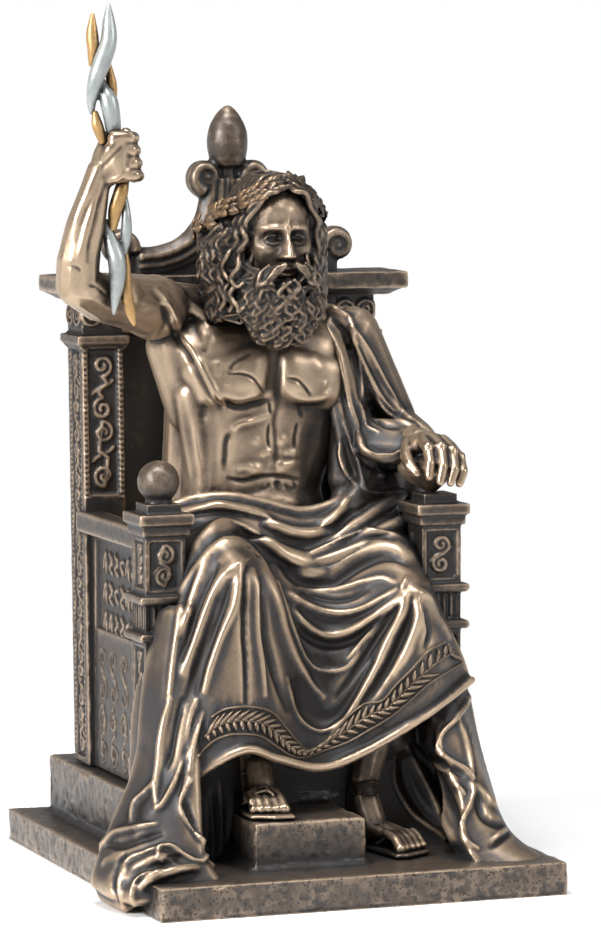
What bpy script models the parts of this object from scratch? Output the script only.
"""A seated, bearded sky god on a carved throne, with a thunderbolt in a raised fist.

A cold-cast bronze figurine. The frame has its origin under the middle of the slab, +X to the
viewer's right, -Y to the front and +Z up. All sizes are in metres.
"""

import math

import bmesh
import bpy
from mathutils import Matrix, Vector, noise

CLEARANCE = 0.0003
SLIVER = 0.000004

# Plinth: the slab, the step under the throne and the block for the lifted foot.
SLAB_WIDTH = 0.133
SLAB_DEPTH = 0.156
SLAB_HEIGHT = 0.0103
STEP_WIDTH = 0.108
STEP_FRONT = -0.026
STEP_BACK = 0.072
STEP_HEIGHT = 0.0182
FOOTSTOOL_WIDTH = 0.0366
FOOTSTOOL_MIDDLE = -0.011
FOOTSTOOL_FRONT = -0.0585
FOOTSTOOL_HEIGHT = 0.0144
ROUGHNESS = 0.0011
SLAB_CELL = 0.0085
STEP_CELL = 0.0095
FOOTSTOOL_CELL = 0.0065
CORNICE_CELL = 0.006

# Throne: arms and their posts. Heights of the arm are above the step.
ARM_OUTER = 0.0525
POST_WIDTH = 0.013
POST_FRONT = -0.024
SEAT_HEIGHT = 0.046
LOWER_SHAFT_HEIGHT = 0.0485
FLUTED_BAND_HEIGHT = 0.0143
UPPER_SHAFT_HEIGHT = 0.0187
CAP_HEIGHT = 0.0066
CAP_BLOCK_HEIGHT = 0.003
CAP_OVERHANG = 0.0024
COLLAR_OVERHANG = 0.0018
COLLAR_HEIGHT = 0.0027
FLUTES = 4
RAIL_HEIGHT = 0.0065
SIDE_PANEL_RECESS = 0.004
BALL_RADIUS = 0.0066

# Throne: the back.
BACK_WIDTH = 0.101
BACK_POST_WIDTH = 0.014
BACK_FRONT = 0.0394
BACK_DEPTH = 0.0155
BACK_PANEL_RECESS = 0.005
BACK_RAKE = 0.04
BACK_HEIGHT = 0.139
FRIEZE_HEIGHT = 0.0135
CORNICE_WIDTH = 0.1198
CORNICE_DEPTH = 0.0244
CORNICE_HEIGHT = 0.0057
PANEL_SINK = 0.0011
SCROLL_RADIUS = 0.0009
RING_POINTS = 7

# Throne: the crest on the cornice.
CREST_THICKNESS = 0.009
CREST_HALF_WIDTH = 0.0356
CREST_HEIGHT = 0.0307
VOLUTE_RADIUS = 0.0059
VOLUTE_EYE = 0.55
BUD_HEIGHT = 0.0195
BUD_RADIUS = 0.0067
BUD_STALK = 0.006
CORNICE_FORWARD = 0.003
CREST_FORWARD = 0.006

# The figure's pose and carving are shares of its height, from the slab's top to the crown.
FIGURE_HEIGHT = 0.2097
CLAY_GRAIN = 0.00125
FIGURE_TRIANGLES = 4000
PLAIN_INFLUENCE = 0.04

# Rolled folds of cloth, in the nominal millimetres of the figure's drawing.
SWAG_THICKNESS = 2.4
RAY_THICKNESS = 2.3
HEM_THICKNESS = 1.8
WAIST_THICKNESS = 4.6
SHOULDER_THICKNESS = 4.2
LAP_THICKNESS = 3.4
MANTLE_THICKNESS = 2.3

# The thunderbolt.
BOLT_LENGTH = 0.0985
GRIP_RADIUS = 0.0024
BOLT_GRAIN = 0.00065
BOLT_TRIANGLES = 640

STEP_TOP = SLAB_HEIGHT + STEP_HEIGHT
FIGURE_UNIT = FIGURE_HEIGHT / 209.7


def clear_scene():
    for old in list(bpy.data.objects):
        bpy.data.objects.remove(old, do_unlink=True)


def material(name, colour, roughness, metallic):
    made = bpy.data.materials.new(name)
    made.use_nodes = True
    shader = made.node_tree.nodes["Principled BSDF"]
    shader.inputs["Base Color"].default_value = (*colour, 1.0)
    shader.inputs["Roughness"].default_value = roughness
    shader.inputs["Metallic"].default_value = metallic
    return made


def object_from(bm, name, hidden=False):
    mesh = bpy.data.meshes.new(name)
    bm.to_mesh(mesh)
    bm.free()
    obj = bpy.data.objects.new(name, mesh)
    bpy.context.scene.collection.objects.link(obj)
    if hidden:
        obj.hide_render = True
        obj.display_type = "WIRE"
    return obj


def applied(obj):
    """The object with its modifiers made part of its mesh."""
    graph = bpy.context.evaluated_depsgraph_get()
    mesh = bpy.data.meshes.new_from_object(obj.evaluated_get(graph))
    obj.modifiers.clear()
    obj.data = mesh
    return obj


def boolean(target, tools, operation):
    """One exact Boolean with all the tools at once. The tools are deleted after it."""
    group = bpy.data.collections.new("tools")
    for tool in tools:
        group.objects.link(tool)
    cut = target.modifiers.new(operation.lower(), "BOOLEAN")
    cut.operation = operation
    cut.operand_type = "COLLECTION"
    cut.collection = group
    cut.solver = "EXACT"
    cut.use_self = operation == "UNION"
    cleaned(applied(target))
    for tool in tools:
        bpy.data.objects.remove(tool, do_unlink=True)
    bpy.data.collections.remove(group)
    return target


def cleaned(obj):
    """Merges what the Booleans left closer than a few microns, and leaves triangles only."""
    bm = bmesh.new()
    bm.from_mesh(obj.data)
    bmesh.ops.triangulate(bm, faces=bm.faces)
    bmesh.ops.dissolve_degenerate(bm, edges=bm.edges, dist=SLIVER)
    bmesh.ops.remove_doubles(bm, verts=bm.verts, dist=SLIVER)
    pinched = [e for e in bm.edges if len(e.link_faces) > 2]
    if pinched:
        bmesh.ops.collapse(bm, edges=pinched)
    bmesh.ops.triangulate(bm, faces=bm.faces)
    bm.to_mesh(obj.data)
    bm.free()
    return obj


def without_crumbs(obj):
    """Drops the small loose pieces that a cut leaves behind, and keeps the main one."""
    bm = bmesh.new()
    bm.from_mesh(obj.data)
    left = set(bm.faces)
    pieces = []
    while left:
        piece = {left.pop()}
        rim = list(piece)
        while rim:
            edges = [e for f in rim for e in f.edges if len(e.link_faces) == 2]
            near = {f for e in edges for f in e.link_faces} - piece
            piece |= near
            rim = list(near)
        left -= piece
        pieces.append(piece)
    main_piece = max(pieces, key=len)
    bmesh.ops.delete(bm, geom=[f for f in bm.faces if f not in main_piece], context="FACES")
    bm.to_mesh(obj.data)
    bm.free()
    return obj


def box(low, high, hidden=True):
    bm = bmesh.new()
    bmesh.ops.create_cube(bm, size=1.0)
    low, high = Vector(low), Vector(high)
    size = high - low
    for vertex in bm.verts:
        vertex.co = Vector(s * (c + 0.5) for s, c in zip(size, vertex.co)) + low
    return object_from(bm, "box", hidden)


def smooth_path(points, steps):
    """Points along a Catmull-Rom curve through the given points, with steps to each span."""
    points = [Vector(p) for p in points]
    ends = [2 * points[0] - points[1], *points, 2 * points[-1] - points[-2]]
    path = []
    for a, b, c, d in zip(ends, ends[1:], ends[2:], ends[3:]):
        for k in range(steps):
            t = k / steps
            path.append(
                0.5 * (
                    2 * b + (c - a) * t + (2 * a - 5 * b + 4 * c - d) * t**2 + (3 * b - a - 3 * c + d) * t**3
                )
            )
    return [*path, points[-1]]


def tube(points, radius, corners=4, ring=False):
    """A closed tube along the points. A list of radii tapers it, and a ring joins its own end."""
    curve = bpy.data.curves.new("tube", "CURVE")
    curve.dimensions = "3D"
    curve.bevel_depth = 1.0
    curve.bevel_resolution = max(0, corners // 2 - 2)
    curve.use_fill_caps = True
    line = curve.splines.new("POLY")
    line.points.add(len(points) - 1)
    line.use_cyclic_u = ring
    radii = radius if isinstance(radius, list) else [radius] * len(points)
    for point, place, size in zip(line.points, points, radii):
        point.co = (*place, 1.0)
        point.radius = size
    guide = bpy.data.objects.new("tube", curve)
    bpy.context.scene.collection.objects.link(guide)
    graph = bpy.context.evaluated_depsgraph_get()
    bm = bmesh.new()
    bm.from_mesh(bpy.data.meshes.new_from_object(guide.evaluated_get(graph)))
    bpy.data.objects.remove(guide, do_unlink=True)
    bmesh.ops.remove_doubles(bm, verts=bm.verts, dist=1e-7)
    bmesh.ops.recalc_face_normals(bm, faces=bm.faces)
    return object_from(bm, "tube", hidden=True)


def turned(profile, centre, sides=16):
    """A closed round piece: profile holds (radius, height) pairs from its foot to its top."""
    bm = bmesh.new()
    verts = [bm.verts.new((r, 0.0, z)) for r, z in profile]
    edges = [bm.edges.new(pair) for pair in zip(verts, verts[1:])]
    bmesh.ops.spin(
        bm,
        geom=verts + edges,
        cent=(0, 0, 0),
        axis=(0, 0, 1),
        angle=2 * math.pi,
        steps=sides,
        use_merge=True,
    )
    bmesh.ops.remove_doubles(bm, verts=bm.verts, dist=1e-6)
    bmesh.ops.holes_fill(bm, edges=[e for e in bm.edges if e.is_boundary], sides=0)
    bmesh.ops.recalc_face_normals(bm, faces=bm.faces)
    bmesh.ops.translate(bm, verts=bm.verts, vec=centre)
    return object_from(bm, "turned", hidden=True)


# Plinth


def rough_block(low, high, cell, chip, foot_share=1.0):
    """A stone block whose faces and arrises are hewn back from its true box, never out of it.

    The foot share is how much of the hewing reaches the edges that it stands on.
    """
    low, high = Vector(low), Vector(high)
    bm = bmesh.new()
    bmesh.ops.create_cube(bm, size=1.0)
    for axis in range(3):
        cuts = max(1, round((high[axis] - low[axis]) / cell) - 1)
        along = [
            e for e in bm.edges if abs(abs((e.verts[1].co - e.verts[0].co).normalized()[axis]) - 1) < 0.01
        ]
        bmesh.ops.subdivide_edges(bm, edges=along, cuts=cuts, use_grid_fill=True)
    for vertex in bm.verts:
        unit = vertex.co + Vector((0.5, 0.5, 0.5))
        place = Vector(a + u * (b - a) for a, b, u in zip(low, high, unit))
        sides = [abs(abs(vertex.co[axis]) - 0.5) < 1e-4 for axis in range(3)]
        at_foot = sides[2] and vertex.co.z < 0
        arris = sum(sides) > 1
        moved = place.copy()
        for axis in range(3):
            if not sides[axis] or (axis == 2 and (at_foot or not arris)):
                continue
            grain = 0.5 + 0.5 * noise.noise(place * 190 + Vector((axis * 7.0, 0, 0)))
            coarse = 0.5 + 0.5 * noise.noise(place * 55 + Vector((0, axis * 5.0, 3)))
            depth = chip * (0.15 + 0.45 * grain + (1.0 if arris else 0.3) * coarse**2)
            if at_foot:
                depth *= foot_share
            moved[axis] -= math.copysign(depth, vertex.co[axis])
        vertex.co = moved
    obj = object_from(bm, "block", hidden=True)
    thin = obj.modifiers.new("flat", "DECIMATE")
    thin.decimate_type = "DISSOLVE"
    thin.angle_limit = math.radians(2.2)
    return applied(obj)


def slab_bounds(gap=0.0):
    half = SLAB_WIDTH / 2 + gap
    return (-half, -SLAB_DEPTH / 2 - gap, 0), (half, SLAB_DEPTH / 2 + gap, SLAB_HEIGHT + gap)


def step_bounds(gap=0.0):
    half = STEP_WIDTH / 2 + gap
    foot = SLAB_HEIGHT - SLAB_HEIGHT / 4
    return (-half, STEP_FRONT - gap, foot), (half, STEP_BACK + gap, STEP_TOP + gap)


def footstool_bounds(gap=0.0):
    half = FOOTSTOOL_WIDTH / 2 + gap
    foot = SLAB_HEIGHT - SLAB_HEIGHT / 4
    top = SLAB_HEIGHT + FOOTSTOOL_HEIGHT + gap
    low = (FOOTSTOOL_MIDDLE - half, FOOTSTOOL_FRONT - gap, foot)
    return low, (FOOTSTOOL_MIDDLE + half, STEP_FRONT + ROUGHNESS * 3, top)


def plinth(stone):
    slab = rough_block(*slab_bounds(), SLAB_CELL, ROUGHNESS, foot_share=0.5)
    step = rough_block(*step_bounds(), STEP_CELL, ROUGHNESS * 0.8)
    stool = rough_block(*footstool_bounds(), FOOTSTOOL_CELL, ROUGHNESS * 0.8)
    boolean(slab, [step, stool], "UNION")
    slab.name = "plinth"
    slab.hide_render = False
    slab.display_type = "TEXTURED"
    slab.data.materials.clear()
    slab.data.materials.append(stone)
    return slab


# Throne


POST_INNER = ARM_OUTER - POST_WIDTH
POST_BACK = POST_FRONT + POST_WIDTH
LOWER_TOP = STEP_TOP + LOWER_SHAFT_HEIGHT
BAND_TOP = LOWER_TOP + FLUTED_BAND_HEIGHT
UPPER_TOP = BAND_TOP + UPPER_SHAFT_HEIGHT
CAP_TOP = UPPER_TOP + CAP_HEIGHT
BLOCK_TOP = CAP_TOP + CAP_BLOCK_HEIGHT
RAIL_TOP = UPPER_TOP + 0.001
SEAT_TOP = STEP_TOP + SEAT_HEIGHT
BACK_TOP = STEP_TOP + BACK_HEIGHT
FRIEZE_TOP = BACK_TOP + FRIEZE_HEIGHT
CORNICE_TOP = FRIEZE_TOP + CORNICE_HEIGHT
BACK_MIDDLE_Y = BACK_FRONT + BACK_DEPTH / 2
SINK = 0.001


def raked(obj):
    """Leans a piece of the back away from the seat."""
    for vertex in obj.data.vertices:
        vertex.co.y += BACK_RAKE * (vertex.co.z - STEP_TOP)
    return obj


def s_scroll(height, hand=1):
    """An S of two opposed spirals about its middle, as (across, up) pairs."""
    eye = height / 4
    turns = 1.1
    steps = 5
    half = []
    for k in range(1, steps + 1):
        t = k / steps
        angle = math.radians(-90) + turns * 2 * math.pi * t
        reach = eye * (1 - 0.72 * t)
        half.append((hand * reach * math.cos(angle), eye + reach * math.sin(angle)))
    return [(-x, -z) for x, z in reversed(half)] + [(0.0, 0.0)] + half


def scroll_on(face, centre, height, count, hand=1):
    """A chain of scrolls up a panel. The face gives the panel's across and out directions."""
    across, out = (Vector(face[0]), Vector(face[1]))
    made = []
    each = height / count
    for k in range(count):
        middle = Vector(centre) + Vector((0, 0, (k + 0.5) * each - height / 2))
        turn = hand if k % 2 else -hand
        path = [middle + across * x + Vector((0, 0, z)) for x, z in s_scroll(each * 0.9, turn)]
        made.append(tube(path, SCROLL_RADIUS))
    return made


def front_face(side):
    return (side, 0, 0), (0, -1, 0)


def side_face(side):
    return (0, 1, 0), (side, 0, 0)


def arm(side):
    """One arm: its front post with bands, cap and block, the rail and the side panel.

    Returns the solids to join, the solids to cut away and the scrolls to join after the cut.
    """
    inner, outer = sorted((side * POST_INNER, side * ARM_OUTER))
    middle = side * (POST_INNER + ARM_OUTER) / 2
    added, cut, scrolls = [], [], []
    added.append(box((inner, POST_FRONT, STEP_TOP + CLEARANCE), (outer, POST_BACK, UPPER_TOP + SINK)))
    lips = (
        (LOWER_TOP, COLLAR_HEIGHT, COLLAR_OVERHANG),
        (BAND_TOP - COLLAR_HEIGHT, COLLAR_HEIGHT, COLLAR_OVERHANG),
        (UPPER_TOP, CAP_HEIGHT / 2 + SINK, COLLAR_OVERHANG * 0.7),
        (UPPER_TOP + CAP_HEIGHT / 2, CAP_HEIGHT / 2, CAP_OVERHANG),
    )
    for foot, height, lip in lips:
        added.append(
            box(
                (inner - lip, POST_FRONT - lip, foot),
                (outer + lip, POST_BACK + lip * 2, foot + height),
            )
        )
    margin = POST_WIDTH * 0.08
    added.append(
        box(
            (inner + margin, POST_FRONT + margin, CAP_TOP - SINK),
            (outer - margin, POST_BACK + margin, BLOCK_TOP),
        )
    )
    flute_foot = LOWER_TOP + COLLAR_HEIGHT
    flute_top = BAND_TOP - COLLAR_HEIGHT
    pitch = POST_WIDTH / (FLUTES + 0.5)
    for k in range(FLUTES):
        shift = (k - (FLUTES - 1) / 2) * pitch
        spots = ((middle + shift, POST_FRONT), (side * ARM_OUTER, POST_FRONT + POST_WIDTH / 2 + shift))
        for x, y in spots:
            ends = [(x, y, flute_foot + SINK / 2), (x, y, flute_top - SINK / 2)]
            cut.append(tube(ends, pitch * 0.4))
    panels = ((STEP_TOP, LOWER_SHAFT_HEIGHT, 2), (BAND_TOP, UPPER_SHAFT_HEIGHT, 1))
    border = POST_WIDTH * 0.2
    for foot, height, count in panels:
        low, high = foot + border, foot + height - border
        x_low, x_high = inner + border, outer - border
        y_low, y_high = POST_FRONT + border, POST_BACK - border
        cut.append(box((x_low, POST_FRONT - SINK, low), (x_high, POST_FRONT + PANEL_SINK, high)))
        side_low, side_high = sorted((side * (ARM_OUTER + SINK), side * (ARM_OUTER - PANEL_SINK)))
        cut.append(box((side_low, y_low, low), (side_high, y_high, high)))
        rise = (low + high) / 2
        front = (middle, POST_FRONT + PANEL_SINK, rise)
        flank = (side * (ARM_OUTER - PANEL_SINK), (POST_FRONT + POST_BACK) / 2, rise)
        scrolls += scroll_on(front_face(side), front, high - low, count)
        scrolls += scroll_on(side_face(side), flank, high - low, count)
    rail_low, rail_high = sorted(
        (side * (ARM_OUTER - SINK / 2), side * (POST_INNER + POST_WIDTH * 0.3))
    )
    added.append(
        box(
            (rail_low, POST_BACK - SINK, RAIL_TOP - RAIL_HEIGHT),
            (rail_high, BACK_FRONT + SINK * 8, RAIL_TOP),
        )
    )
    panel_low, panel_high = sorted(
        (side * (ARM_OUTER - SIDE_PANEL_RECESS), side * (POST_INNER + SINK * 3))
    )
    added.append(
        box(
            (panel_low, POST_BACK - SINK, SEAT_TOP - SINK * 3),
            (panel_high, BACK_FRONT + SINK * 7, RAIL_TOP - RAIL_HEIGHT + SINK),
        )
    )
    return added, cut, scrolls


def back_post(side):
    """One post of the back: its shaft with sunk panels, and the capital's collar."""
    half = BACK_WIDTH / 2
    inner, outer = sorted((side * (half - BACK_POST_WIDTH), side * half))
    middle = side * (half - BACK_POST_WIDTH / 2)
    added = [
        raked(
            box(
                (inner, BACK_FRONT, STEP_TOP + CLEARANCE),
                (outer, BACK_FRONT + BACK_DEPTH, BACK_TOP + SINK),
            )
        ),
        raked(
            box(
                (inner - COLLAR_OVERHANG, BACK_FRONT - COLLAR_OVERHANG, BACK_TOP - COLLAR_HEIGHT),
                (outer + COLLAR_OVERHANG, BACK_FRONT + BACK_DEPTH + COLLAR_OVERHANG, BACK_TOP),
            )
        ),
    ]
    border = BACK_POST_WIDTH * 0.2
    low, high = CAP_TOP + border, BACK_TOP - COLLAR_HEIGHT - border
    x_low, x_high = inner + border, outer - border
    cut = [raked(box((x_low, BACK_FRONT - SINK, low), (x_high, BACK_FRONT + PANEL_SINK, high)))]
    spot = (middle, BACK_FRONT + PANEL_SINK, (low + high) / 2)
    scrolls = [raked(s) for s in scroll_on(front_face(side), spot, high - low, 3)]
    side_low, side_high = sorted((side * (half + SINK), side * (half - PANEL_SINK)))
    y_low, y_high = BACK_FRONT + border, BACK_FRONT + BACK_DEPTH - border
    cut.append(raked(box((side_low, y_low, STEP_TOP + border), (side_high, y_high, high))))
    return added, cut, scrolls


def ring_row():
    """The frieze's rings, on its front at each end and on its two flanks."""
    rings = []
    reach = FRIEZE_HEIGHT * 0.3
    rise = BACK_TOP + FRIEZE_HEIGHT * 0.47
    lean = BACK_RAKE * (rise - STEP_TOP)
    for side in (-1, 1):
        for k in range(2):
            x = side * (BACK_WIDTH / 2 - BACK_POST_WIDTH * (0.22 + 0.55 * k))
            rings.append(((x, BACK_FRONT + lean, rise), (1, 0, 0)))
            y = BACK_FRONT + lean + BACK_DEPTH * (0.25 + 0.5 * k)
            rings.append(((side * BACK_WIDTH / 2, y, rise), (0, 1, 0)))
    made = []
    for centre, across in rings:
        path = []
        for k in range(RING_POINTS):
            angle = 2 * math.pi * (k + 0.35) / RING_POINTS
            path.append(
                Vector(centre) + Vector(across) * reach * math.cos(angle) + Vector(
                    (0, 0, reach * math.sin(angle))
                )
            )
        made.append(tube(path, SCROLL_RADIUS * 0.9, ring=True))
    return made


BUD_OUTLINE = (
    (0.73, 0.0),
    (0.88, 0.1),
    (0.97, 0.25),
    (1.0, 0.4),
    (0.95, 0.55),
    (0.8, 0.7),
    (0.57, 0.84),
    (0.28, 0.95),
    (0.0, 1.0),
)


def crest_board():
    """The board above the cornice: its two swept shoulders meet under the bud."""
    foot = CORNICE_TOP - SINK
    y_middle = BACK_MIDDLE_Y + BACK_RAKE * (CORNICE_TOP - STEP_TOP) - CREST_FORWARD
    neck = VOLUTE_RADIUS * 0.95
    outline = [(CREST_HALF_WIDTH, foot), (CREST_HALF_WIDTH, CORNICE_TOP + VOLUTE_RADIUS)]
    start = Vector((CREST_HALF_WIDTH - VOLUTE_RADIUS * 1.5, CORNICE_TOP + VOLUTE_RADIUS * 1.35))
    end = Vector((VOLUTE_RADIUS * 1.55, CORNICE_TOP + CREST_HEIGHT - VOLUTE_RADIUS))
    pull = Vector((end.x + 0.003, start.y + 0.001))
    for k in range(9):
        t = k / 8
        spot = start * (1 - t) ** 2 + pull * 2 * t * (1 - t) + end * t**2
        outline.append(tuple(spot))
    outline.append((neck, CORNICE_TOP + CREST_HEIGHT))
    bm = bmesh.new()
    right = [bm.verts.new((x, 0, z)) for x, z in outline]
    left = [bm.verts.new((-x, 0, z)) for x, z in reversed(outline)]
    bm.faces.new(right + left)
    made = bmesh.ops.extrude_face_region(bm, geom=bm.faces[:])
    moved = [g for g in made["geom"] if isinstance(g, bmesh.types.BMVert)]
    bmesh.ops.translate(bm, verts=moved, vec=(0, CREST_THICKNESS * 0.7, 0))
    bmesh.ops.recalc_face_normals(bm, faces=bm.faces)
    bmesh.ops.triangulate(bm, faces=bm.faces)
    bmesh.ops.translate(bm, verts=bm.verts, vec=(0, y_middle - CREST_THICKNESS * 0.35, 0))
    board = object_from(bm, "board", hidden=True)
    parts = [board]
    for side in (-1, 1):
        path = [Vector((side * x, y_middle, z)) for x, z in outline[2:11]]
        parts.append(tube(path, [CREST_THICKNESS * 0.5] * 2 + [CREST_THICKNESS * 0.36] * 7, corners=8))
        for x, z, size in (
            (CREST_HALF_WIDTH + VOLUTE_RADIUS * 0.2, CORNICE_TOP + VOLUTE_RADIUS * 1.4, 1.2),
            (VOLUTE_RADIUS * 1.5, CORNICE_TOP + CREST_HEIGHT, 1.0),
        ):
            parts += volute((side * x, y_middle, z), VOLUTE_RADIUS * size)
    bud = [(0.0, 0.0), (neck * 0.8, 0.0)]
    bud += [(BUD_RADIUS * wide, BUD_STALK + BUD_HEIGHT * rise) for wide, rise in BUD_OUTLINE]
    parts.append(turned(bud, (0, y_middle, CORNICE_TOP + CREST_HEIGHT - BUD_STALK / 2), sides=12))
    return parts


def volute(centre, radius):
    """A scroll end: a drum and the smaller, thicker eye in its middle."""
    turn = Matrix.Rotation(math.pi / 2, 4, "X")
    made = []
    for share, depth in ((1.0, CREST_THICKNESS * 1.1), (VOLUTE_EYE, CREST_THICKNESS * 1.4)):
        drum = bmesh.new()
        bmesh.ops.create_cone(
            drum,
            cap_ends=True,
            segments=12,
            radius1=radius * share,
            radius2=radius * share,
            depth=depth,
            matrix=turn,
        )
        bmesh.ops.translate(drum, verts=drum.verts, vec=centre)
        made.append(object_from(drum, "volute", hidden=True))
    return made


def seat_bounds():
    side = ARM_OUTER - SIDE_PANEL_RECESS
    low = (-side, POST_FRONT + SINK * 3, STEP_TOP + CLEARANCE)
    return low, (side, BACK_FRONT + SINK * 9, SEAT_TOP)


def back_panel_bounds():
    side = BACK_WIDTH / 2 - BACK_POST_WIDTH + SINK
    low = (-side, BACK_FRONT + BACK_PANEL_RECESS, STEP_TOP + CLEARANCE)
    return low, (side, BACK_FRONT + BACK_DEPTH - SINK, BACK_TOP + SINK)


def cornice_bounds():
    half = CORNICE_WIDTH / 2
    middle = BACK_MIDDLE_Y + BACK_RAKE * (CORNICE_TOP - STEP_TOP) - CORNICE_FORWARD
    low = (-half, middle - CORNICE_DEPTH / 2, FRIEZE_TOP)
    return low, (half, middle + CORNICE_DEPTH / 2, CORNICE_TOP)


def throne(bronze):
    seat = box(*seat_bounds())
    added, cut, scrolls = [], [], []
    for side in (-1, 1):
        for make in (arm, back_post):
            more, less, carved = make(side)
            added += more
            cut += less
            scrolls += carved
    half = BACK_WIDTH / 2
    added.append(raked(box(*back_panel_bounds())))
    frieze_low = (-half, BACK_FRONT, BACK_TOP - SINK / 2)
    added.append(raked(box(frieze_low, (half, BACK_FRONT + BACK_DEPTH, FRIEZE_TOP + SINK))))
    low, high = [Vector(corner) for corner in cornice_bounds()]
    for drop, inset in ((0.4, SINK * 4.5), (0.2, SINK * 2.5)):
        shelf_low = (low.x + inset, low.y + inset, FRIEZE_TOP - CORNICE_HEIGHT * drop)
        added.append(box(shelf_low, (high.x - inset, high.y - inset, FRIEZE_TOP + SINK)))
    added.append(rough_block(low, high, CORNICE_CELL, ROUGHNESS))
    added += ring_row()
    added += crest_board()
    boolean(seat, added, "UNION")
    boolean(seat, cut, "DIFFERENCE")
    ball_x = -(POST_INNER + ARM_OUTER) / 2
    ball = [(0.0, 0.0), (BALL_RADIUS * 0.7, 0.0), (BALL_RADIUS * 0.6, SINK * 2)]
    for k in range(2, 9):
        angle = math.pi * k / 9
        ball.append((BALL_RADIUS * math.sin(angle), SINK + BALL_RADIUS * (1 - math.cos(angle))))
    ball.append((0.0, SINK + BALL_RADIUS * 2))
    finial = turned(ball, (ball_x, POST_FRONT + POST_WIDTH / 2, BLOCK_TOP - SINK), sides=14)
    boolean(seat, [*scrolls, finial], "UNION")
    seat.name = "throne"
    seat.hide_render = False
    seat.display_type = "TEXTURED"
    seat.data.materials.clear()
    seat.data.materials.append(bronze)
    return seat


# Figure: clay that is pressed together, smoothed and then carved.


NOMINAL_FOOT = 10.3


def at(x, y, z):
    """A place on the figure, from its drawing in nominal millimetres."""
    return Vector((x, y, z - NOMINAL_FOOT)) * FIGURE_UNIT + Vector((0, 0, SLAB_HEIGHT))


def unit_sphere(subdivisions):
    bm = bmesh.new()
    bmesh.ops.create_icosphere(bm, subdivisions=subdivisions, radius=1.0)
    points = [v.co.copy() for v in bm.verts]
    bm.free()
    return points


SPHERE = unit_sphere(2)


def hull(clay, *balls):
    """The tight skin round several balls, each (x, y, z, radius) in nominal millimetres."""
    skin_round(clay, [(at(x, y, z), radius * FIGURE_UNIT) for x, y, z, radius in balls])


def skin_round(clay, balls):
    """The tight skin round several balls, each with its place and radius in metres."""
    bm = bmesh.new()
    for centre, radius in balls:
        for point in SPHERE:
            bm.verts.new(centre + point * radius)
    made = bmesh.ops.convex_hull(bm, input=bm.verts, use_existing_faces=False)
    spare = [g for g in made["geom_interior"] + made["geom_unused"] if isinstance(g, bmesh.types.BMVert)]
    bmesh.ops.delete(bm, geom=list(set(spare)), context="VERTS")
    skin = bpy.data.meshes.new("skin")
    bm.to_mesh(skin)
    bm.free()
    clay.from_mesh(skin)
    bpy.data.meshes.remove(skin)


def limb(clay, *balls):
    """A chain of balls, each pair skinned."""
    for first, second in zip(balls, balls[1:]):
        hull(clay, first, second)


def lump(clay, x, y, z, wide, deep, tall, turn=0.0):
    """An egg-shaped lump, turned about the front axis by so many degrees."""
    matrix = Matrix.Translation(at(x, y, z)) @ Matrix.Rotation(math.radians(turn), 4, "Y")
    stretch = Matrix.Diagonal((wide, deep, tall, 1 / FIGURE_UNIT)) * FIGURE_UNIT
    bmesh.ops.create_icosphere(clay, subdivisions=3, radius=1.0, matrix=matrix @ stretch)


def fold(clay, points, thick, thin=0.4, steps=4):
    """A rolled fold of cloth or a lock along a smooth curve. It thins towards both ends."""
    path = smooth_path(points, steps)
    last = len(path) - 1
    balls = []
    for k, place in enumerate(path):
        swell = math.sin(math.pi * (0.12 + 0.76 * k / last))
        balls.append((*place, thick * (thin + (1 - thin) * swell)))
    limb(clay, *balls)


def spread(rows, u, v):
    """A place on the smooth surface through a table of rows of points. u and v run from 0 to 1."""
    across = [curve_at(row, u) for row in rows]
    return curve_at(across, v)


def curve_at(points, t):
    points = [Vector(p) for p in points]
    reach = t * (len(points) - 1)
    k = min(int(reach), len(points) - 2)
    t = reach - k
    b, c = points[k], points[k + 1]
    a = points[k - 1] if k else 2 * b - c
    d = points[k + 2] if k + 2 < len(points) else 2 * c - b
    return 0.5 * (
        2 * b + (c - a) * t + (2 * a - 5 * b + 4 * c - d) * t**2 + (3 * b - a - 3 * c + d) * t**3
    )


def cloth(clay, rows, depth, across=22, down=20):
    """A thick hanging cloth: a smooth face through the rows of points, carried back by the depth."""
    bm = bmesh.new()
    bmesh.ops.create_grid(bm, x_segments=across, y_segments=down, size=1.0)
    for vertex in bm.verts:
        u, v = (vertex.co.x + 1) / 2, (1 - vertex.co.y) / 2
        vertex.co = at(*spread(rows, u, v))
    made = bmesh.ops.extrude_face_region(bm, geom=bm.faces[:])
    moved = [g for g in made["geom"] if isinstance(g, bmesh.types.BMVert)]
    bmesh.ops.translate(bm, verts=moved, vec=(0, depth * FIGURE_UNIT, 0))
    bmesh.ops.recalc_face_normals(bm, faces=bm.faces)
    skin = bpy.data.meshes.new("skin")
    bm.to_mesh(skin)
    bm.free()
    clay.from_mesh(skin)
    bpy.data.meshes.remove(skin)


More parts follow.
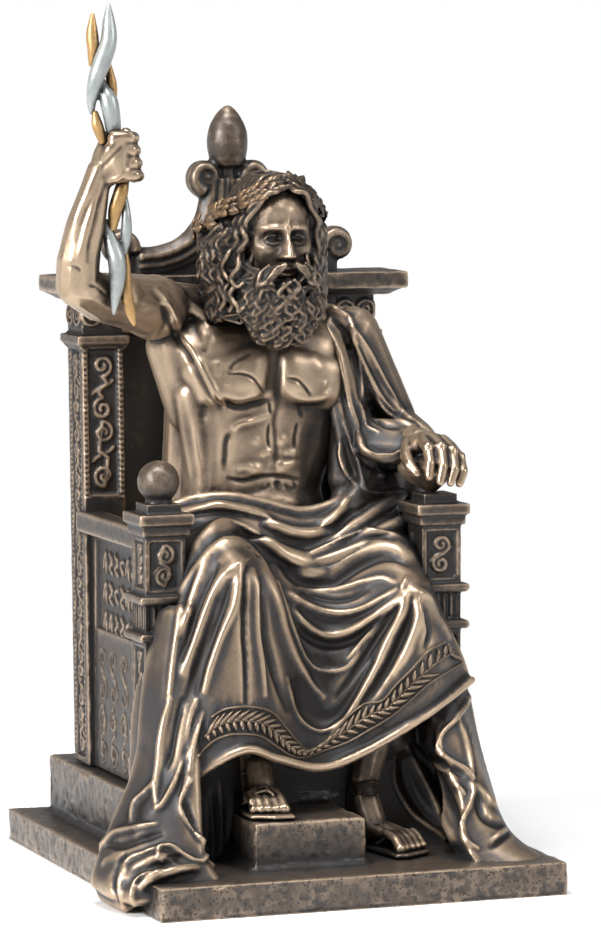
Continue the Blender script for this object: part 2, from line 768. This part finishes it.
def torso(clay):
    hull(clay, (-17, 19, 163, 13), (17, 20, 161, 13), (-13, 19, 138, 13), (13, 19, 137, 12.5))
    hull(clay, (-13, 18, 120, 12), (8, 18, 119, 12), (-13, 19, 138, 13), (13, 19, 137, 12.5))
    hull(clay, (-14, 18, 98, 16), (12, 18, 96, 16), (-13, 18, 120, 12), (8, 18, 119, 12))
    hull(clay, (-20, 22, 146, 10), (-27, 23, 165, 9), (-14, 24, 168, 10))
    lump(clay, -14.5, 10.5, 158, 14.5, 7.5, 9, turn=18)
    lump(clay, 15, 11, 156, 14, 7.5, 9, turn=-10)
    for row, z in enumerate((145, 136, 127)):
        for side in (-1, 1):
            lump(clay, -1 + side * 6, 7.6 - row * 0.7, z, 5.6, 3.2, 4.4)
    for row, z in enumerate((150, 144, 138)):
        lump(clay, -22 + row * 1.2, 11 + row, z, 3.2, 4.5, 3.6, turn=30)
    lump(clay, -1, 7, 114, 13, 5, 7)
    limb(clay, (0, 21, 168, 10), (0, 13, 186, 9))
    limb(clay, (-1, 12, 171, 1.5), (-20, 14, 175, 2.0), (-32, 19, 183, 2.5))
    limb(clay, (2, 12, 171, 1.5), (24, 18, 173, 2.0))
    hull(clay, (-8, 24, 176, 7), (-30, 24, 178, 8), (-14, 26, 168, 9))
    hull(clay, (8, 24, 174, 7), (28, 24, 168, 9), (14, 26, 166, 9))


def raised_arm(clay):
    lump(clay, -36, 17, 178, 10.5, 10.5, 10.5)
    limb(clay, (-34, 18, 178, 10), (-47, 8, 180.5, 9), (-60, -4, 182.5, 7.6), (-69, -11, 186.5, 6.8))
    lump(clay, -54, 1, 183, 9, 8, 7.2)
    limb(
        clay, (-70, -11, 187, 6.8), (-70, -12, 195, 6.6), (-68, -13, 205, 6.2),
        (-65.5, -14.5, 216, 4.7), (-63.6, -14.5, 222, 4.3),
    )
    hull(
        clay, (-63.5, -14.5, 220, 4.2), (-61, -13.5, 226, 4.6), (-58.5, -12.5, 234, 3.6),
        (-60.5, -16.5, 223, 4.0),
    )
    hull(
        clay, (-62, -16, 220, 3.0), (-60.5, -19.0, 230, 3.0), (-56, -19.5, 235, 2.6),
        (-56, -19.5, 224, 2.8),
    )
    for k in range(4):
        rise = 236 - k * 4.5
        limb(
            clay,
            (-59 + k * 0.3, -19.0, rise - 0.6, 2.7),
            (-52.6 + k * 0.5, -19.5, rise - 0.4, 2.6),
            (-51.4 + k * 0.5, -14.2, rise - 1.0, 2.4),
        )
    limb(clay, (-60, -11, 226, 3.4), (-54.5, -10, 234.5, 2.6), (-52.5, -13.5, 237.5, 2.1))


def resting_arm(clay):
    hull(clay, (31, 22, 166, 11.5), (36, 24, 150, 10.5), (44, 23, 136, 10))
    hull(clay, (44, 23, 136, 10), (46, -2, 132, 7.5), (46, 20, 122, 8))
    limb(clay, (46, -2, 131.5, 6), (46, -12, 131, 4.6))
    hull(clay, (45.5, -11, 131, 4.6), (50, -20, 131, 3.6), (42.5, -20, 131, 3.6))
    for k in range(4):
        x = 41.6 + k * 3.5
        limb(clay, (x, -19, 131.2, 2.6), (x + 0.2, -25.6, 129, 2.3), (x + 0.2, -27.4, 123, 2.0))
    limb(clay, (42, -12, 130, 3.0), (38.2, -18, 127, 2.6), (37.4, -23, 124, 2.1))


def head(clay):
    lump(clay, 1, 8, 202, 12.6, 15, 16)
    hull(clay, (1, 1, 192, 8), (1, 2, 205, 10), (1, -1, 184, 6))
    lump(clay, 1, -8.2, 200.5, 8.6, 2.0, 2.0)
    hull(clay, (1, -8.6, 201, 1.5), (1, -12.0, 193.2, 1.8), (1, -8.0, 191.8, 2.6))
    for side in (-1, 1):
        lump(clay, 1 + side * 7, -4.6, 193.5, 3.4, 3.4, 3.0)
        fold(clay, [(1, -9.6, 190), (1 + side * 5, -9.4, 187.6), (1 + side * 8.5, -6.5, 182)], 2.0)


def hair(clay):
    """Waves that part over the brow and fall to the shoulders, and curls of beard in rows."""
    for side in (-1, 1):
        hull(
            clay, (1 + side * 12, 6, 200, 7), (1 + side * 14.5, 7, 186, 7),
            (1 + side * 15, 9, 175, 5.5),
        )
        hull(clay, (1 + side * 12, 14, 200, 8), (1 + side * 12, 18, 180, 8), (1, 18, 196, 12))
        fold(clay, [(1, -5, 213.5), (1 + side * 6.5, -7, 210), (1 + side * 12, -2.5, 203)], 2.6)
        fold(
            clay, [(1 + side * 11, -3, 204), (1 + side * 14.4, -1.5, 196), (1 + side * 13, -1, 188)],
            3.0,
        )
        fold(
            clay,
            [
                (1 + side * 15, 0, 196), (1 + side * 18.5, 1, 189), (1 + side * 16.5, 2, 181),
                (1 + side * 19, 4, 172),
            ],
            2.8,
        )
        fold(
            clay,
            [
                (1 + side * 16, 6, 202), (1 + side * 19.5, 7, 193), (1 + side * 18.5, 8, 182),
                (1 + side * 20, 9, 173),
            ],
            2.8,
        )
    hull(clay, (-9, -2, 186, 6), (11, -2, 186, 6), (-6, -1, 172, 7), (8, -1, 172, 7), (0, -4, 167, 5))
    rows = (
        (186, 11.5, 5, -6.0), (180.5, 12.5, 6, -8.2), (175, 11.5, 5, -8.8), (169.5, 8.5, 4, -8.6),
        (165.5, 4.5, 3, -7.6),
    )
    for row, (z, half, count, front) in enumerate(rows):
        for k in range(count):
            share = 2 * k / (count - 1) - 1
            x = share * half
            y = front + 6.5 * share**2
            sway = 1.6 if (k + row) % 2 else -1.6
            fold(
                clay,
                [(x - sway, y + 1, z + 3.4), (x + sway, y - 1, z), (x - sway * 0.6, y + 0.6, z - 3.4)],
                2.3, 0.55,
            )


def wreath(clay):
    """A ring of laurel leaves round the head, two to each step."""
    count = 15
    for k in range(count):
        angle = 2 * math.pi * k / count + 0.2
        x, y = 1 + 14.2 * math.sin(angle), 6.5 - 15.8 * math.cos(angle)
        z = 212 - 3.4 * math.cos(angle) * 0.6
        lean = 4.6 if math.sin(angle) < 0 else -4.6
        along = Vector((math.cos(angle), math.sin(angle), 0)) * (-lean)
        for tilt in (-2.2, 2.2):
            tip = Vector((x, y, z + tilt)) + along
            limb(clay, (x, y, z, 1.5), (*tip, 0.8))


def legs(clay):
    hull(clay, (-14, 14, 98, 13), (-27, -30, 93.5, 9.6))
    hull(clay, (12, 14, 96, 13), (31, -31, 85, 9.6))
    hull(clay, (-27, -30, 92, 9.2), (-22, -30, 68, 8.5), (-20, -34, 42, 5))
    hull(clay, (31, -31, 84, 9.2), (25, -26, 60, 8), (17.5, -30, 32, 4.8))
    limb(clay, (17.5, -29, 34, 4.6), (17, -25, 17, 5.2))
    hull(clay, (17, -24, 14.5, 4.4), (18.5, -36, 17, 5), (17.5, -31, 26, 4.4))
    hull(clay, (18.5, -36, 15.5, 5), (20.5, -48, 13.4, 3.4), (25.5, -47, 13, 3.2))
    for k in range(5):
        x = 19.6 + k * 1.9
        limb(clay, (x, -47, 13.2, 1.8), (x + 0.6, -55.5 + k * 1.1, 12.2, 1.6))
    limb(clay, (-20, -34, 44, 4.6), (-20, -33, 33, 5))
    hull(clay, (-20, -32, 29.5, 4.4), (-20, -41, 31.5, 4.6), (-20, -36, 38, 4.2))
    hull(clay, (-20, -41, 30, 4.8), (-23.5, -50, 28.2, 3.2), (-18.5, -50, 28.2, 3.4))
    for k in range(5):
        x = -25 + k * 1.9
        limb(clay, (x, -49.5, 28, 1.8), (x - 0.2, -55.2 - k * 0.5, 27, 1.6))


ROBE_ROWS = (
    (
        (-38, 12, 110), (-31, 3, 113), (-20, 0, 114), (-8, 0, 112), (5, -1, 110), (18, 0, 112),
        (31, 2, 117), (40, 8, 118),
    ),
    (
        (-39, -4, 104), (-33, -14, 108), (-24, -17, 111), (-10, -12, 104), (4, -11, 99), (18, -14, 102),
        (31, -17, 106), (42, -6, 107),
    ),
    (
        (-39, -20, 101), (-34, -31, 102.5), (-27, -37.5, 103), (-14, -32, 94), (2, -26, 85),
        (18, -31, 88), (31, -38, 93), (43, -22, 93),
    ),
    (
        (-44, -29, 85), (-37, -39, 87), (-28, -43, 88), (-15, -38, 80), (2, -29, 70), (18, -35, 74),
        (33, -42, 80), (46, -26, 82),
    ),
    (
        (-54, -35, 58), (-43, -44, 62), (-30, -48, 66), (-17, -44, 61), (-2, -34, 53), (15, -38, 57),
        (35, -41, 65), (51, -29, 70),
    ),
    (
        (-57, -38, 30), (-48, -50, 37), (-32, -52, 46), (-19, -49, 42), (-3, -44, 37.5), (12, -42, 41),
        (34, -39, 51), (55, -28, 60),
    ),
)
UNDER_ROWS = (
    ((-48, -22, 66), (-24, -26, 62), (0, -20, 56), (20, -24, 60), (46, -20, 68)),
    ((-48, -34, 30), (-26, -30, 34), (0, -25, 30), (20, -26, 34), (44, -24, 40)),
    ((-48, -40, 9), (-31, -32, 9), (0, -28, 9), (26, -30, 9), (44, -34, 9)),
)
LEFT_FALL_ROWS = (
    ((-46, -22, 86), (-44, -29, 86), (-40, -33, 86)),
    ((-53, -28, 62), (-50, -38, 62), (-44, -42, 60)),
    ((-57, -33, 40), (-54, -47, 40), (-47, -52, 40)),
    ((-69, -38, 17), (-64, -56, 19), (-49, -61, 17)),
    ((-74, -42, 7), (-70, -65, 6), (-45, -66, 8)),
)
RIGHT_FALL_ROWS = (
    ((42, -24, 66), (50, -27, 64), (55, -22, 62)),
    ((38, -38, 46), (48, -36, 48), (60, -21, 42)),
    ((41, -50, 30), (52, -46, 30), (66, -19, 24)),
    ((38, -62, 17), (54, -60, 16), (66.5, -26, 15)),
    ((40, -68, 9), (62, -72, 9), (66.5, -40, 9)),
)


def robe(clay):
    cloth(clay, ROBE_ROWS, 20, across=36, down=32)
    cloth(clay, UNDER_ROWS, 16)
    cloth(clay, LEFT_FALL_ROWS, 12)
    cloth(clay, RIGHT_FALL_ROWS, 16)
    hull(clay, (-70, -42, 11, 4), (-69, -60, 10, 4), (-70.5, -58, 3.5, 3.4), (-72, -44, 4, 3.4))
    fold(
        clay,
        [(-38, 12, 112), (-30, 0, 117), (-19, -3, 118), (-6, -5, 115.5), (6, -6, 112.5), (18, -5, 115)],
        WAIST_THICKNESS, 0.8,
    )
    fold(clay, [(14, -6, 113), (24, -4, 118), (31, 0, 126), (33, 4, 136)], SHOULDER_THICKNESS, 0.7)
    fold(
        clay,
        [
            (-39, -8, 105), (-26, -12, 112), (-10, -14, 105), (4, -14, 100), (18, -14, 104),
            (34, -13, 108),
        ],
        LAP_THICKNESS,
    )
    swags = (
        ((-14, -26, 101), (-4, -27, 91), (6, -27, 88), (18, -30, 92), (30, -34, 98)),
        ((-18, -34, 96), (-8, -32, 82), (4, -31, 77), (16, -34, 80), (28, -40, 90)),
        ((-19, -38, 88), (-10, -36, 70), (2, -34, 63), (16, -38, 72), (29, -43, 87)),
        ((-20, -41, 80), (-12, -41, 62), (-3, -40, 50), (12, -40, 60), (27, -44, 80)),
    )
    for swag in swags:
        fold(clay, swag, SWAG_THICKNESS)
    rays = (
        ((-28, -39, 98), (-37, -43, 78), (-45, -49, 50), (-50, -52, 34)),
        ((-28, -40, 98), (-32, -46, 78), (-38, -52, 58), (-42, -53, 46)),
        ((-27, -40, 98), (-27, -47, 76), (-28, -52, 56), (-29, -53, 48)),
        ((-26, -40, 98), (-21, -44, 78), (-18, -49, 58), (-17, -50, 46)),
        ((32, -40, 89), (26, -43, 74), (16, -43, 58), (6, -44, 44)),
        ((33, -40, 89), (34, -43, 74), (32, -42, 62), (29, -41, 52)),
        ((35, -39, 89), (42, -37, 78), (48, -34, 68), (52, -31, 63)),
        ((-40, -24, 99), (-47, -32, 78), (-55, -38, 54), (-61, -42, 28), (-68, -52, 15)),
        ((46, -24, 80), (56, -25, 56), (61, -26, 36), (64, -40, 16), (65, -64, 12)),
        ((48, -34, 52), (46, -46, 38), (52, -54, 24), (60, -66, 12)),
    )
    for ray in rays:
        fold(clay, ray, RAY_THICKNESS)
    fold(
        clay,
        [
            (-52, -47, 34), (-32, -53, 46.5), (-19, -50, 43), (-3, -45, 38.5), (12, -43, 42),
            (34, -40, 52), (54, -30, 61),
        ],
        HEM_THICKNESS, 0.8,
    )


def mantle(clay):
    """The cloth over the other shoulder, down the arm and on to the throne's arm."""
    hull(clay, (26, 30, 166, 8), (33, 20, 168, 9), (38, 26, 152, 9), (46, 22, 138, 10))
    hull(clay, (45, 24, 137, 10.5), (49, 4, 134, 6.5), (47, 16, 120, 8), (46, 4, 121, 6.5))
    hull(clay, (27, 14, 158, 5), (27, 8, 138, 5.5), (34, 14, 126, 8), (28, 8, 122, 8))
    hull(clay, (30, 10, 128, 6), (42, 8, 122, 6), (36, 4, 116, 6), (26, 6, 116, 6))
    ridges = (
        ((24, 16, 176), (29, 10, 164), (35, 10, 150), (42, 6, 138), (48, -4, 136)),
        ((26, 20, 177), (34, 14, 166), (40, 14, 151), (48, 10, 139)),
        ((24, 14, 172), (25, 8, 160), (28, 5, 146), (33, 2, 135), (41, -5, 130)),
        ((28, 24, 178), (38, 20, 166), (45, 22, 150), (53, 18, 138)),
        ((22, 13, 168), (22, 7, 156), (23, 4, 142), (26, 1, 130), (34, -4, 124)),
    )
    for ridge in ridges:
        fold(clay, ridge, MANTLE_THICKNESS)


def thrown_back(clay):
    """What the figure's back and seat fill between it and the throne."""
    hull(clay, (-16, 34, 168, 9), (16, 34, 164, 9), (-18, 36, 110, 10), (18, 36, 110, 10))
    hull(
        clay, (-30, 30, 92, 10), (30, 30, 92, 10), (-28, -8, 90, 12), (28, -8, 88, 12),
        (-28, 30, 76, 10), (28, 30, 76, 10),
    )
    hull(clay, (-30, -12, 78, 10), (30, -12, 78, 10), (-30, -18, 40, 10), (30, -18, 40, 10))


def grown_box(low, high, gap=CLEARANCE):
    return box(Vector(low) - Vector((gap,) * 3), Vector(high) + Vector((gap,) * 3))


def neighbours():
    """The room that the figure leaves to the throne and the plinth."""
    wide = 0.2
    made = [
        box(*slab_bounds(CLEARANCE)),
        box(*step_bounds(CLEARANCE)),
        box(*footstool_bounds(CLEARANCE)),
        box((-wide, -wide, -wide), (wide, wide, CLEARANCE)),
    ]
    half = BACK_WIDTH / 2
    made.append(grown_box(*seat_bounds()))
    made.append(raked(grown_box(*back_panel_bounds())))
    low, high = [Vector(corner) for corner in cornice_bounds()]
    low.z -= CORNICE_HEIGHT * 0.4
    made.append(grown_box(low, high))
    crest_front = (low.y + high.y) / 2 - CREST_THICKNESS - CREST_FORWARD
    crest_low = (-half, crest_front, CORNICE_TOP - SINK)
    made.append(grown_box(crest_low, (half, high.y, CORNICE_TOP + CREST_HEIGHT * 2)))
    made.append(
        raked(
            grown_box(
                (-half, BACK_FRONT, BACK_TOP - COLLAR_HEIGHT),
                (half, BACK_FRONT + BACK_DEPTH, FRIEZE_TOP + SINK),
            )
        )
    )
    for side in (-1, 1):
        in_low, in_high = sorted((side * POST_INNER, side * (ARM_OUTER + CAP_OVERHANG)))
        lip = CAP_OVERHANG
        made.append(
            grown_box((in_low, POST_FRONT, STEP_TOP - SINK), (in_high, POST_BACK, UPPER_TOP + SINK))
        )
        for foot, height in (
            (LOWER_TOP, COLLAR_HEIGHT),
            (BAND_TOP - COLLAR_HEIGHT, COLLAR_HEIGHT),
            (UPPER_TOP, CAP_HEIGHT),
        ):
            low = (in_low - lip, POST_FRONT - lip, foot)
            made.append(grown_box(low, (in_high + lip, POST_BACK + lip * 2, foot + height)))
        made.append(grown_box((in_low, POST_FRONT, CAP_TOP - SINK), (in_high, POST_BACK, BLOCK_TOP)))
        made.append(
            grown_box(
                (in_low, POST_BACK - SINK, SEAT_TOP - SINK * 4),
                (in_high, BACK_FRONT + SINK * 8, RAIL_TOP),
            )
        )
        post_low, post_high = sorted((side * (half - BACK_POST_WIDTH), side * half))
        made.append(
            raked(
                grown_box(
                    (post_low, BACK_FRONT, STEP_TOP),
                    (post_high, BACK_FRONT + BACK_DEPTH, BACK_TOP + SINK),
                )
            )
        )
    return made


def moulded(clay, name, grain, smoothing, triangles, plain=None):
    """One skin over all the clay, smoothed, then thinned, most of all where the plain weight is high."""
    obj = object_from(clay, name)
    skin = obj.modifiers.new("skin", "REMESH")
    skin.mode = "VOXEL"
    skin.voxel_size = grain
    if smoothing:
        smooth = obj.modifiers.new("smooth", "SMOOTH")
        smooth.factor = 0.5
        smooth.iterations = smoothing
    applied(obj)
    thin = obj.modifiers.new("thin", "DECIMATE")
    if plain:
        group = obj.vertex_groups.new(name="plain")
        for vertex in obj.data.vertices:
            group.add([vertex.index], plain(vertex.co), "REPLACE")
        thin.vertex_group = group.name
        thin.vertex_group_factor = PLAIN_INFLUENCE
    thin.ratio = min(1.0, triangles / (2 * len(obj.data.polygons)))
    return cleaned(applied(obj))


def plainness(place):
    """Low at the head and the hands, whose detail is small."""
    spots = ((at(1, 0, 194), 30), (at(-56, -16, 230), 13), (at(46, -22, 128), 13), (at(22, -50, 13), 9))
    near = min((place - centre).length / (reach * FIGURE_UNIT) for centre, reach in spots)
    return 0.5 if near < 1 else 1.0


def figure(bronze):
    clay = bmesh.new()
    for make in (torso, raised_arm, resting_arm, head, hair, wreath, legs, robe, mantle, thrown_back):
        make(clay)
    body = moulded(clay, "zeus_figure", CLAY_GRAIN, 2, FIGURE_TRIANGLES, plainness)
    room = bolt_solid("room", CLEARANCE * 2, BOLT_TRIANGLES)
    without_crumbs(boolean(body, [*neighbours(), room], "DIFFERENCE"))
    body.data.materials.clear()
    body.data.materials.append(bronze)
    return body


# Thunderbolt


FIST = Vector((-58.0, -15.5, 227.0))
NOMINAL_BOLT = 98.5
BOLT_UNIT = BOLT_LENGTH / NOMINAL_BOLT
GRIP_LEAN = Vector((-0.15, 0.0, 1.0))
GRIP_ABOVE = 13.5
GRIP_BELOW = 13.0
SILVER_STRANDS = (
    (
        (-60.8, -15, 273.4, 0.5), (-60.9, -15.5, 268, 1.9), (-61.3, -16.5, 261.8, 2.6),
        (-63.8, -17, 255, 2.8), (-65.8, -16.5, 249.2, 2.3), (-66.2, -14.5, 243.7, 1.6),
        (-65.5, -12.5, 239.5, 0.8),
    ),
    (
        (-63.2, -13.5, 251.2, 1.0), (-62.5, -14.5, 247.4, 1.9), (-61.3, -16, 243.9, 2.8),
        (-60.4, -16.5, 238.9, 2.7), (-59.5, -15.5, 234.2, 2.4),
    ),
    (
        (-56.0, -15, 214.8, 1.0), (-55.8, -16.5, 208.2, 1.5), (-55.8, -16, 202, 1.8),
        (-56.1, -14.5, 196.5, 1.0),
    ),
    (
        (-61.8, -13.5, 207.3, 1.0), (-60.5, -15, 201, 2.2), (-59.0, -16.5, 194.7, 2.8),
        (-58.6, -16, 188.4, 2.5), (-59.0, -15, 182.8, 1.6), (-59.3, -14.5, 177.9, 0.5),
    ),
)
GOLD_STRANDS = (
    (
        (-65.6, -14, 270.3, 0.6), (-65.8, -14, 264.2, 1.9), (-65.6, -14.5, 259.2, 1.9),
        (-65.7, -14.5, 254, 1.4),
    ),
    ((-60.4, -13.5, 255, 0.8), (-59.5, -13.5, 248.3, 1.8), (-59.3, -14, 242.7, 1.3)),
    ((-65.0, -14, 240.6, 0.8), (-64.4, -14.5, 236.2, 1.8), (-62.4, -15, 230.6, 1.4)),
    (
        (-56.3, -15.5, 220, 1.8), (-57.6, -16.5, 215.6, 2.3), (-59.3, -16, 209.8, 2.2),
        (-59.8, -15, 203.9, 1.2),
    ),
    (
        (-55.6, -13.5, 198.2, 1.0), (-55.2, -14, 192.4, 1.5), (-55.4, -14.5, 185.4, 2.0),
        (-54.0, -15, 178.6, 1.6), (-52.7, -15, 174.3, 0.5),
    ),
)


def on_bolt(place):
    return at(*FIST) + (Vector(place) - FIST) * BOLT_UNIT


def grip_ends():
    below = on_bolt(FIST - GRIP_LEAN * GRIP_BELOW)
    return below, on_bolt(FIST + GRIP_LEAN * GRIP_ABOVE)


def strand(clay, points, grow):
    """A tongue of flame: a smooth tapering rope through points that carry their own radius."""
    places = smooth_path([p[:3] for p in points], 3)
    last = len(places) - 1
    sizes = [(p[3], 0, 0) for p in points]
    radii = [curve_at(sizes, k / last).x * BOLT_UNIT + grow for k in range(last + 1)]
    balls = [(on_bolt(place), radius) for place, radius in zip(places, radii)]
    for pair in zip(balls, balls[1:]):
        skin_round(clay, pair)


def bolt_solid(name, grow, triangles):
    clay = bmesh.new()
    for points in SILVER_STRANDS + GOLD_STRANDS:
        strand(clay, points, grow)
    low, high = grip_ends()
    skin_round(clay, ((low, GRIP_RADIUS + grow), (high, GRIP_RADIUS + grow)))
    return moulded(clay, name, BOLT_GRAIN, 0, triangles)


def lightning_bolt(silver, gold):
    bolt = bolt_solid("lightning_bolt", 0.0, BOLT_TRIANGLES)
    bolt.data.materials.clear()
    bolt.data.materials.append(silver)
    bolt.data.materials.append(gold)
    return bolt


def main():
    clear_scene()
    stone = material("stone_bronze", (0.11, 0.085, 0.065), 0.55, 0.6)
    bronze = material("throne_bronze", (0.13, 0.10, 0.075), 0.5, 0.7)
    skin = material("figure_bronze", (0.24, 0.18, 0.12), 0.42, 0.8)
    plinth(stone)
    throne(bronze)
    figure(skin)
    silver = material("bolt_silver", (0.52, 0.56, 0.57), 0.4, 0.5)
    gold = material("bolt_gold", (0.62, 0.36, 0.13), 0.4, 0.5)
    lightning_bolt(silver, gold)


main()
